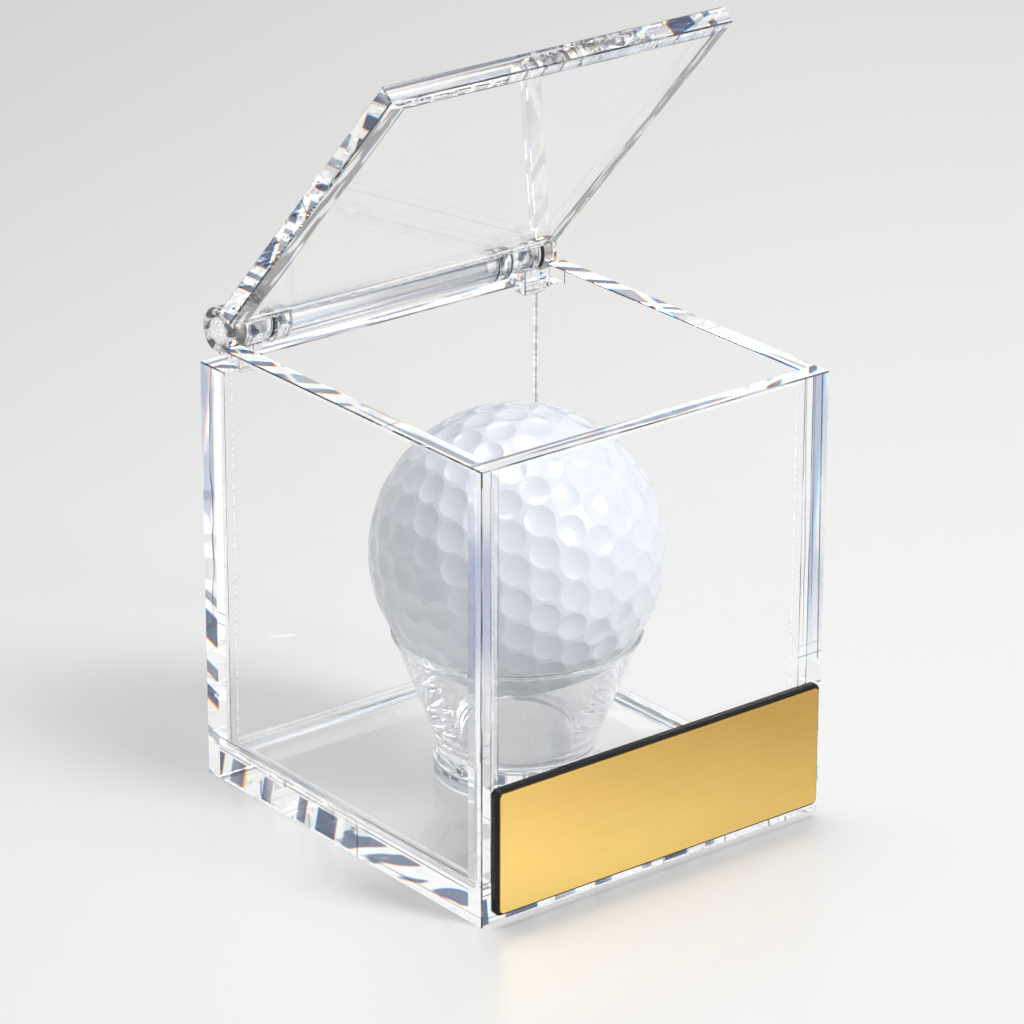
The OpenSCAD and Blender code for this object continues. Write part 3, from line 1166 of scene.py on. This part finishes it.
@dataclass
class HingeCase:
    """Hinge pieces that stay with the case: blocks, collars and rod."""

    hinge: Hinge
    dome: float = 0.5
    dome_steps: int = 9
    rod_shoulder: float = 0.3
    collar_bead: float = 1.4
    bead_drop: float = 0.3
    body_drop: float = 0.6
    collar_round: float = 0.14
    block_shrink: float = 0.03
    block_chamfer: float = 0.12

    def build(self) -> None:
        """Makes the rod, both collars and both blocks."""
        self.rod()
        for side in Side:
            self.collar(side)
            self.block(side)

    def rod(self) -> None:
        """The clear rod with a low dome on each end."""
        end, r = self.hinge.half, self.hinge.rod_r
        ball_r = (r * r + self.dome**2) / (2 * self.dome)
        arc = [
            (end - ball_r + ball_r * math.cos(a), ball_r * math.sin(a))
            for a in np.linspace(0.0, math.asin(r / ball_r), self.dome_steps + 1)
        ]
        right = [*arc, (end - self.dome - self.rod_shoulder, r)]
        profile = right + [(-along, radius) for along, radius in reversed(right)]
        self.hinge.turned(lathe(profile, closed=False), "hinge_rod", "clear", Body.CASE, ROD)

    def collar(self, side: Side) -> None:
        """A clear collar with a bead at its outer end."""
        h = self.hinge
        node = f"hinge_collar_{side.word}"
        near, far = along_hinge(node)
        bore, bead, body = h.rod_r + h.gap, h.ring_r - self.bead_drop, h.ring_r - self.body_drop
        step = far - self.collar_bead
        outline = [(near, bore), (far, bore), (far, bead), (step, bead), (step, body), (near, body)]
        h.turned(lathe(soften(outline, self.collar_round)), node, "clear", Body.CASE, TURNED, side)

    def block(self, side: Side) -> None:
        """The stepped block: the CAD solid drawn in by the cement's thickness."""
        node = f"hinge_block_{side.word}"
        bm = bmesh.new()
        bm.from_mesh(frame["nodes"][node].data)
        bmesh.ops.scale(bm, vec=(1 / MM,) * 3, verts=bm.verts)
        bmesh.ops.remove_doubles(bm, verts=bm.verts, dist=1e-4)
        bmesh.ops.dissolve_limit(bm, angle_limit=0.02, verts=bm.verts, edges=bm.edges)
        bm.normal_update()
        for vert in bm.verts:
            vert.co -= Vector(vert.normal) * self.block_shrink
        chamfer_corners(bm, self.block_chamfer, 1, True)
        put(bm, node + "_clear", Body.CASE, [node], [BLOCK, LINE])


class LidFace(IntEnum):
    """The kinds of face on the lid sheet, in the order of its finishes."""

    SHEET = 0
    LIP = 1
    SIDE_LIP = 2
    SIDE = 3
    FRONT = 4
    LINE = 5


@dataclass
class Lid:
    """The lid sheet with the tube and flanges that it is cemented to."""

    hinge: Hinge
    reach: float = 61.0
    thick: float = 3.0
    chamfer: float = 0.2
    inset_cut: float = 0.4
    band: float = 1.8
    band_depth: float = 0.3
    side_band: float = 2.8
    line: float = 0.3
    hollow_steps: int = 8

    def build(self) -> None:
        """Makes the sheet, the long tube and both flanges."""
        self.sheet()
        h = self.hinge
        low, high = cad_box("lid_tube")
        h.turned(ring(low.x, high.x, h.tube_r, h.bore), "lid_tube", "clear", Body.LID, TUBE)
        for side in Side:
            node = f"tube_flange_{side.word}"
            near, far = along_hinge(node)
            h.turned(ring(near + h.gap, far, h.ring_r, h.bore), node, "clear", Body.LID, TURNED, side)

    def section(self, radius: float, inset: float, edge: bool) -> list[Point]:
        """The closed lid's outline across the hinge, as (y, z) points.

        Args:
            radius: the radius of what the hollow at the rear clears.
            inset: how far the outline is drawn in.
            edge: whether the underside is lifted by the depth of the band.

        Returns:
            The points: the hollow first, then round the front edge.
        """
        h, half_t = self.hinge, self.thick / 2
        r, z = radius + h.gap + inset, half_t - inset
        low_a, span = math.asin(-z / r), 2 * math.asin(z / r)
        sweep = [low_a + span * s / self.hollow_steps for s in range(self.hollow_steps + 1)]
        points = [(-r * math.cos(a), r * math.sin(a)) for a in sweep]
        front = -self.reach + inset
        cut = self.chamfer if inset == 0 else self.chamfer * self.inset_cut
        low = -half_t + (self.band_depth + inset if edge else 0.0)
        points += [
            (front + cut, z), (front, z - cut), (front, -z + self.band_depth + cut),
            (front + cut, -z + self.band_depth), (front + self.band, low),
            (front + self.band + self.line, low),
        ]
        points[0] = (points[0][0], low)
        return [(h.y + y, h.z + z) for y, z in points]

    def sheet(self) -> None:
        """The lid sheet: a long plate whose rear edge is hollowed to clear tube and rings."""
        h, c = self.hinge, self.chamfer
        end, tube = h.half, cad_box("lid_tube")[1].x
        right = [
            (tube, h.tube_r, 0.0, False), (tube, h.ring_r, 0.0, False),
            (end - self.side_band - self.line, h.ring_r, 0.0, False),
            (end - self.side_band, h.ring_r, 0.0, False),
            (end - c, h.ring_r, 0.0, True), (end, h.ring_r, c, True),
        ]
        left = [(-x, *rest) for x, *rest in reversed(right)]
        bm = bmesh.new()
        rows = [[bm.verts.new((x, y, z)) for y, z in self.section(*rest)] for x, *rest in left + right]
        skin(bm, rows)
        bm.faces.new(rows[0][::-1])
        bm.faces.new(rows[-1])
        bmesh.ops.dissolve_degenerate(bm, dist=1e-5, edges=bm.edges)
        bm.normal_update()
        for face in bm.faces:
            face.material_index = self.kind(face)
        bmesh.ops.dissolve_limit(bm, angle_limit=0.001, verts=bm.verts, edges=bm.edges, delimit={"MATERIAL"})
        put(bm, "lid_panel_clear", Body.LID, ["lid_panel"], [SHEET, *self.edges(), LINE], 0, h.opened())

    def kind(self, face: bmesh.types.BMFace) -> LidFace:
        """The kind of a face of the closed lid, from its normal and its middle."""
        h, half_line = self.hinge, self.line / 2
        inner_x, inner_y = h.half - self.side_band, h.y - self.reach + self.band
        nx, ny, nz = (abs(part) for part in face.normal)
        middle = face.calc_center_median()
        beside = abs(abs(middle.x) - inner_x + half_line) < half_line and middle.y > inner_y
        before = abs(middle.y - inner_y - half_line) < half_line and abs(middle.x) < inner_x
        if nz > 0.999 and middle.z < h.z and (beside or before):
            return LidFace.LINE
        if nz > 0.999 or (ny > 0.1 and middle.y > h.y - h.ring_r - 1.0):
            return LidFace.SHEET
        if nz > 0.9:
            return LidFace.LIP if ny > nx else LidFace.SIDE_LIP
        if nx > 0.9:
            return LidFace.SIDE
        return LidFace.FRONT if ny > 0.9 else LidFace.LINE

    def edges(self) -> tuple[Finish, ...]:
        """The finishes, with painted reflection streaks and blocks, of the underside's front and side bands,
        then of the side edges and the front edge.
        """
        turn = math.radians(self.hinge.opening)
        depth = (0.0, -math.cos(turn), math.sin(turn))
        thick = (0.0, math.sin(turn), math.cos(turn))
        lip = PaintedLightEdge(
            "acrylic_lid_lip", across=tuple(a + b for a, b in zip(depth, thick)), busy=NO_BLOCKS,
            streak_mm=(30.0, 1.4), streak_level=(0.42, 0.6), slate=(0.76, 0.8, 0.88),
        )
        side_lip = PaintedLightEdge(
            "acrylic_lid_side_lip", run=depth, across=(1.0, *thick[1:]), busy=NO_BLOCKS,
            streak_mm=(9.0, 0.9), streak_level=(0.4, 0.5), slate=(0.42, 0.41, 0.4), glow=0.0,
        )
        side = PaintedLightEdge(
            "acrylic_lid_side", run=depth, across=(1.0, *thick[1:]), slant=0.9, cut=0.4,
        )
        middle = sum(a * b for a, b in zip(thick[1:], (self.hinge.y, self.hinge.z)))
        front = PaintedLightEdge(
            "acrylic_lid_front", across=thick, busy=(10.0, 14.0, 0.0, 1.0), step_mm=6.0, cut=0.6,
            streak_mm=(50.0, 3.0), streak_level=(0.48, 0.53), slate=(0.7, 0.71, 0.73), lean=(middle, 0.22),
        )
        return lip, side_lip, side, front


@dataclass
class HingeTrim:
    """Metal rings, satin bands and black washers that turn with the lid."""

    hinge: Hinge
    washer_round: float = 0.06
    neck: float = 0.25
    neck_drop: float = 0.1
    band_round: float = 0.07
    crown: float = 0.5
    crown_steps: int = 12
    crown_round: float = 0.08

    def build(self) -> None:
        """Makes the four turned pieces of each end."""
        for side in Side:
            self.washer(side, "inner")
            self.washer(side, "outer")
            self.band(side)
            self.end_ring(side)

    def washer(self, side: Side, which: str) -> None:
        """A thin black washer."""
        h = self.hinge
        node = f"{which}_washer_{side.word}"
        near, far = along_hinge(node)
        outer = cad_box(node)[1].z - h.z
        h.turned(ring(near, far, outer, h.bore, self.washer_round), node, "black", Body.LID, WASHER, side)

    def band(self, side: Side) -> None:
        """A satin band with a narrow neck beside the polished ring."""
        h = self.hinge
        node = f"satin_band_{side.word}"
        near, far = along_hinge(node)
        step, neck_r = far - self.neck, h.ring_r - self.neck_drop
        outline = [
            (near, h.bore), (far, h.bore), (far, neck_r), (step, neck_r), (step, h.ring_r), (near, h.ring_r),
        ]
        h.turned(lathe(soften(outline, self.band_round)), node, "metal", Body.LID, SATIN, side)

    def end_ring(self, side: Side) -> None:
        """A polished ring whose end face is rounded like a bead."""
        h = self.hinge
        node = f"end_ring_{side.word}"
        near, far = along_hinge(node)
        outline = [(near, h.bore), (near, h.ring_r)] + [
            (far - self.crown + self.crown * math.sin(math.pi * t), h.ring_r + (h.bore - h.ring_r) * t)
            for t in np.linspace(0.0, 1.0, self.crown_steps + 1)
        ]
        h.turned(lathe(soften(outline, self.crown_round)), node, "metal", Body.LID, POLISHED, side, 30)


@dataclass
class Tee:
    """The clear cup on its thick foot, with its main radii and the height of its well."""

    floor_gap: float = 0.03
    seat_gap: float = 0.05
    foot: float = 12.1
    waist: float = 11.6
    well: float = 8.5
    well_up: float = 4.6

    def outside(self, z0: float, z1: float, rim: float) -> list[Point]:
        """The outline from under the foot up to the rim, as (height, radius) points."""
        foot, waist = self.foot, self.waist
        return [
            (z0 + self.floor_gap, 0.0), (z0 + self.floor_gap, foot - 0.5), (z0 + 0.15, foot - 0.15),
            (z0 + 0.55, foot), (z0 + 2.7, foot), (z0 + 3.2, foot - 0.12), (z0 + 3.7, waist + 0.03),
            (z0 + 4.4, waist), (z0 + 5.2, waist + 0.03), (z0 + 6.2, waist + 0.3), (z0 + 8.0, waist + 0.92),
            (z0 + 14.0, waist + 3.35), (z1 - 2.4, rim - 0.95), (z1 - 1.2, rim - 0.4), (z1 - 0.7, rim - 0.06),
            (z1 - 0.35, rim), (z1 - 0.1, rim - 0.08), (z1, rim - 0.2),
        ]

    def inside(self, z0: float, z1: float, rim: float) -> list[Point]:
        """The outline from under the ball's seat down to the well's floor."""
        well, up = self.well, z0 + self.well_up
        return [
            (z1 - 1.6, rim - 1.5), (z1 - 5.0, rim - 3.1), (up + 6.5, well + 2.85), (up + 3.2, well + 1.45),
            (up + 1.6, well + 0.8), (up + 0.8, well + 0.35), (up + 0.3, well - 0.1),
            (up + 0.05, well - 0.6), (up, well - 1.2), (up, 0.0),
        ]

    def build(self) -> None:
        """Turns the cup's profile about the vertical."""
        low, high = cad_box("ball_tee")
        ball_low, ball_high = cad_box("golf_ball")
        centre = (ball_low + ball_high) / 2
        seat_r = (ball_high.x - ball_low.x) / 2 + self.seat_gap
        rim = (high.x - low.x) / 2
        outer = self.outside(low.z, high.z, rim)
        seat = [
            (z, math.sqrt(seat_r**2 - (centre.z - z) ** 2)) for z in np.linspace(high.z, high.z - 0.75, 5)
        ]
        profile = outer + seat + self.inside(low.z, high.z, rim)
        upright = Matrix.Translation((centre.x, centre.y, 0.0)) @ Matrix.Rotation(-math.pi / 2, 4, "Y")
        # The well's floor takes the painted shade tint; steps on the foot and at the rim take painted dark
        # lines
        well_floor = len(profile) - 4
        shade_lined = (3, 5, len(outer) - 2)
        cup = lathe(profile, 128, closed=False, face_slot=lambda i: 2 if i in shade_lined else int(i >= well_floor))
        put(cup, "ball_tee_clear", Body.CASE, ["ball_tee"], [MOULDED, WELL_SHADE, RIM_LINE], 50, upright)


@dataclass
class GolfBall:
    """A dimpled ball; the dimples sit on an even icosahedral pattern."""

    skip: tuple[int, int] = (4, 2)
    dimple_mm: float = 4.4
    depth_mm: float = 0.38
    posed: tuple[float, float, float, float] = (-0.0128, 0.9264, 0.1774, 0.3319)
    finesse: int = 7
    snap: float = 0.11
    sunk_mm: float = 0.005
    bowl_power: float = 0.92
    settle_rounds: int = 60
    settle_step: float = 0.0025
    push_power: float = 2.5
    batches: int = 40

    def centres(self) -> np.ndarray:
        """Directions of all dimples, evened out by letting them repel each other."""
        golden = (1 + 5**0.5) / 2
        corners = np.array([
            np.roll((0.0, s, t * golden), turn) for turn in range(3) for s in (-1, 1) for t in (-1, 1)
        ])
        corners /= np.linalg.norm(corners[0])
        edge = np.min([np.linalg.norm(corners[0] - c) for c in corners[1:]]) * 1.01
        sixth = complex(0.5, 3**0.5 / 2)
        span = range(-sum(self.skip), sum(self.skip) + 1)
        places = []
        for spot in (i + j * sixth for i in span for j in span):
            part = spot / (self.skip[0] + self.skip[1] * sixth)
            v = part.imag / sixth.imag
            u = part.real - v / 2
            if min(u, v, 1 - u - v) > -1e-6:
                places.append((u, v))
        found = []
        for a, b, c in combinations(corners, 3):
            if max(np.linalg.norm(a - b), np.linalg.norm(b - c), np.linalg.norm(a - c)) > edge:
                continue
            if np.dot(np.cross(b - a, c - a), a) < 0:
                b, c = c, b
            found += [a * (1 - u - v) + b * u + c * v for u, v in places]
        points = np.array(found)
        points /= np.linalg.norm(points, axis=1)[:, None]
        points = np.unique(points.round(6), axis=0)
        for _ in range(self.settle_rounds):
            apart = points[:, None, :] - points[None, :, :]
            gap2 = (apart**2).sum(axis=2)
            np.fill_diagonal(gap2, 1.0)
            push = (apart / gap2[:, :, None] ** self.push_power).sum(axis=1)
            push -= (push * points).sum(axis=1)[:, None] * points
            points += push * (self.settle_step / np.abs(push).max())
            points /= np.linalg.norm(points, axis=1)[:, None]
        return points

    def build(self) -> None:
        """Presses the dimples into a fine sphere."""
        low, high = cad_box("golf_ball")
        centre, radius = (low + high) / 2, (high.x - low.x) / 2 - self.sunk_mm
        bm = bmesh.new()
        bmesh.ops.create_icosphere(bm, subdivisions=self.finesse, radius=1.0)
        way = np.array([v.co.normalized() for v in bm.verts])
        dots = self.centres() @ np.array(Quaternion(self.posed).to_matrix()).T
        parts = np.array_split(way, self.batches)
        closest = dots[np.concatenate([(part @ dots.T).argmax(axis=1) for part in parts])]
        rim = self.dimple_mm / 2 / radius
        turn = np.arccos(np.clip((way * closest).sum(axis=1), -1, 1))
        at_rim = np.abs(turn / rim - 1) < self.snap
        aside = way - closest * np.cos(turn)[:, None]
        aside /= np.maximum(np.linalg.norm(aside, axis=1), 1e-9)[:, None]
        way[at_rim] = (closest * math.cos(rim) + aside * math.sin(rim))[at_rim]
        turn[at_rim] = rim
        reach = turn / rim
        bowl = np.clip(1 - reach**2, 0, 1)
        sunk = radius - self.depth_mm * bowl**self.bowl_power
        for vert, direction, r in zip(bm.verts, way, sunk):
            vert.co = Vector(direction) * r
        put(bm, "golf_ball_dimpled", Body.BALL, ["golf_ball"], [PAINT], 11, Matrix.Translation(centre))


@dataclass
class Nameplate:
    """Black backing with a blank brushed gold sheet, on a thin pad."""

    corner: float = 0.9
    bevel: float = 0.35
    pad_bevel: float = 0.04
    pad_gap: float = 0.02
    gold_corner: float = 0.65
    gold_bevel: float = 0.06
    least_corner: float = 0.08
    arc_steps: int = 8

    def slab(self, node: str, name: str, finish: Finish, corner: float, bevel: float,
             back_gap: float = 0.0) -> None:
        """A rounded plate with a bevelled front edge.

        Args:
            node: the CAD node, whose box gives the size.
            name: the piece's name.
            finish: its finish.
            corner: the corner radius.
            bevel: width and depth of the front bevel.
            back_gap: how far its back stands off what carries it.
        """
        low, high = cad_box(node)
        back, front = high.y - back_gap, low.y
        rings = [(back, 0.0), (front + bevel, 0.0), (front + 0.3 * bevel, 0.3 * bevel), (front, bevel)]
        bm = bmesh.new()
        rows = []
        for y, inset in rings:
            r = max(corner - inset, self.least_corner)
            w, h = (high.x - low.x) / 2 - inset, (high.z - low.z) / 2 - inset
            loop = []
            for quarter, (sx, sz) in enumerate(((1, 1), (-1, 1), (-1, -1), (1, -1))):
                for step in range(self.arc_steps + 1):
                    a = math.pi / 2 * (quarter + step / self.arc_steps)
                    loop.append(bm.verts.new((
                        sx * (w - r) + r * math.cos(a) + (low.x + high.x) / 2, y,
                        sz * (h - r) + r * math.sin(a) + (low.z + high.z) / 2,
                    )))
            rows.append(loop)
        skin(bm, rows)
        bm.faces.new(rows[0])
        bm.faces.new(rows[-1][::-1])
        put(bm, name, Body.CASE, [node], [finish], 20)

    def build(self) -> None:
        """Makes the pad, the backing and the gold sheet."""
        self.slab("nameplate_pad", "nameplate_pad_film", PAD, self.corner, self.pad_bevel, self.pad_gap)
        self.slab("nameplate_backing", "nameplate_backing_black", BACKING, self.corner, self.bevel)
        self.slab("nameplate_gold", "nameplate_gold_blank", GOLD, self.gold_corner, self.gold_bevel)


# Studio


@dataclass(frozen=True)
class Lamp:
    """A white soft box that faces the object, in metres and watts."""

    name: str
    place: Way
    size: Point
    watts: float


@dataclass(frozen=True)
class Viewpoint:
    """The photograph's camera in degrees, millimetres and pixels, fitted to the case and the ball."""

    azimuth: float = -38.53
    elevation: float = 22.35
    roll: float = 0.14
    target: Way = (0.04, -0.04, 44.0)
    distance: float = 740.9
    sensor: float = 36.0
    focus_px: float = 5187.4
    width_px: float = 1024.0
    clip_m: Point = (0.05, 20.0)


@dataclass
class Studio:
    """Pale floor, soft boxes, dark cards and the camera."""

    fill: float = 0.29
    pale: float = 1.0
    stripe_step: float = 0.11
    shelf_step: float = 0.06
    fringe: float = 0.2
    dark: Colour = (0.2, 0.225, 0.29)
    bounces: int = 48
    floor_half: float = 3.0
    floor_z: float = -0.00005
    aim: Way = (0.0, 0.0, 0.045)
    view: Viewpoint = Viewpoint()
    lamps: tuple[Lamp, ...] = (
        Lamp("key_box", (0.58, -1.3, 1.08), (0.45, 0.45), 14.6),
        Lamp("spark_box", (0.5, -1.15, 1.4), (0.16, 0.16), 2.2),
        Lamp("top_box", (0.1, 0.2, 2.2), (1.4, 1.4), 19.6),
    )

    def build(self) -> None:
        """Sets up the floor, the lights, the world and the camera."""
        self.floor()
        for lamp in self.lamps:
            self.light(lamp)
        self.world()
        self.camera()
        cycles = bpy.context.scene.cycles
        cycles.max_bounces = cycles.transmission_bounces = self.bounces
        cycles.glossy_bounces = cycles.transparent_max_bounces = self.bounces
        cycles.caustics_reflective = cycles.caustics_refractive = False
        bpy.context.scene.view_settings.view_transform = "Standard"

    def floor(self) -> None:
        """A wide pale sheet just under the case, painted darker towards the back as painted shade."""
        bm = bmesh.new()
        bmesh.ops.create_grid(bm, x_segments=1, y_segments=1, size=self.floor_half)
        mesh = bpy.data.meshes.new("floor")
        bm.to_mesh(mesh)
        bm.free()
        floor = bpy.data.objects.new("floor", mesh)
        floor.location = (0.0, 0.0, self.floor_z)
        bpy.context.scene.collection.objects.link(floor)
        material = bpy.data.materials.new("floor_pale")
        material.use_nodes = True
        recipe = Recipe(material.node_tree)
        split = recipe.node("ShaderNodeSeparateXYZ", None, {0: recipe.place()})
        # Painted shade: the floor's colour darkens from front to back, standing in for light falling off
        far = recipe.wire(split, "Y").ramp(-0.05, 0.42)
        recipe.finish(recipe.shader(
            Base_Color=recipe.blend(far, (0.93, 0.927, 0.92), (0.74, 0.734, 0.722)), Roughness=0.32,
        ))
        mesh.materials.append(material)

    def light(self, lamp: Lamp) -> None:
        """One soft box aimed at the middle of the case."""
        data = bpy.data.lights.new(lamp.name, "AREA")
        data.shape = "RECTANGLE"
        data.size, data.size_y = lamp.size
        data.energy = lamp.watts
        box = bpy.data.objects.new(lamp.name, data)
        box.location = lamp.place
        aim = Vector(self.aim) - Vector(lamp.place)
        box.rotation_euler = aim.to_track_quat("-Z", "Y").to_euler()
        box.visible_camera = False
        bpy.context.scene.collection.objects.link(box)

    def world(self) -> None:
        """Even fill light, and a pale room with dark cards for gloss and glass."""
        world = bpy.data.worlds.new("studio")
        bpy.context.scene.world = world
        world.use_nodes = True
        recipe = Recipe(world.node_tree)
        way = recipe.node("ShaderNodeTexCoord").outputs["Generated"]
        split = recipe.node("ShaderNodeSeparateXYZ", None, {0: way})
        x, y, z = (recipe.wire(split, axis) for axis in "XYZ")
        turn = y.math("ARCTAN2", x) * (180 / math.pi)
        height = z.math("ARCSINE") * (180 / math.pi)
        channels = []
        for shift, floor_level in zip((-self.fringe, 0.0, self.fringe), self.dark):
            cards = recipe.stripes((turn + shift) * self.stripe_step, 2.0).ramp(0.5, 0.55)
            shelves = recipe.stripes((height + shift) * self.shelf_step + 7.3, 1.0).ramp(0.45, 0.5)
            channels.append(self.pale - (self.pale - floor_level) * cards * shelves)
        path = recipe.node("ShaderNodeLightPath")
        sharp = recipe.wire(path, "Is Singular Ray")
        soft_room = recipe.stripes(turn * 0.03 + height * 0.05, 1.0).ramp(0.35, 0.6, 0.86, 1.0)
        room_colour = recipe.blend(sharp, recipe.channels(channels), recipe.channels([soft_room] * 3))
        sees_room = recipe.either(path, "Is Glossy Ray", "Is Transmission Ray")
        lit = recipe.mix(sees_room, recipe.background(WHITE, self.fill), recipe.background(room_colour))
        shown = recipe.mix(recipe.wire(path, "Is Camera Ray"), lit, recipe.background((0.86, 0.858, 0.85)))
        recipe.node("ShaderNodeOutputWorld", None, {"Surface": shown})

    def camera(self) -> None:
        """The camera at the photograph's viewpoint."""
        view = self.view
        azimuth, elevation, roll = map(math.radians, (view.azimuth, view.elevation, view.roll))
        level = math.cos(elevation)
        back = Vector((math.sin(azimuth) * level, -math.cos(azimuth) * level, math.sin(elevation)))
        right = (-back).cross(Vector(Z_RUN)).normalized()
        up = right.cross(-back)
        side = right * math.cos(roll) + up * math.sin(roll)
        top = -right * math.sin(roll) + up * math.cos(roll)
        data = bpy.data.cameras.new("camera")
        data.sensor_width = view.sensor
        data.lens = view.sensor * view.focus_px / view.width_px
        data.clip_start, data.clip_end = view.clip_m
        camera = bpy.data.objects.new("camera", data)
        spot = (Vector(view.target) + back * view.distance) * MM
        camera.matrix_world = Matrix.Translation(spot) @ Matrix((side, top, back)).transposed().to_4x4()
        bpy.context.scene.collection.objects.link(camera)
        bpy.context.scene.camera = camera


def main() -> None:
    """Builds every sub-assembly, then the studio."""
    logging.basicConfig(level=logging.INFO, format="%(name)s: %(message)s")
    hinge = Hinge()
    for part in (Case(hinge), HingeCase(hinge), Lid(hinge), HingeTrim(hinge), Tee(), GolfBall(), Nameplate()):
        LOG.info("building %s", type(part).__name__)
        part.build()
    Studio().build()


if __name__ == "__main__":
    main()
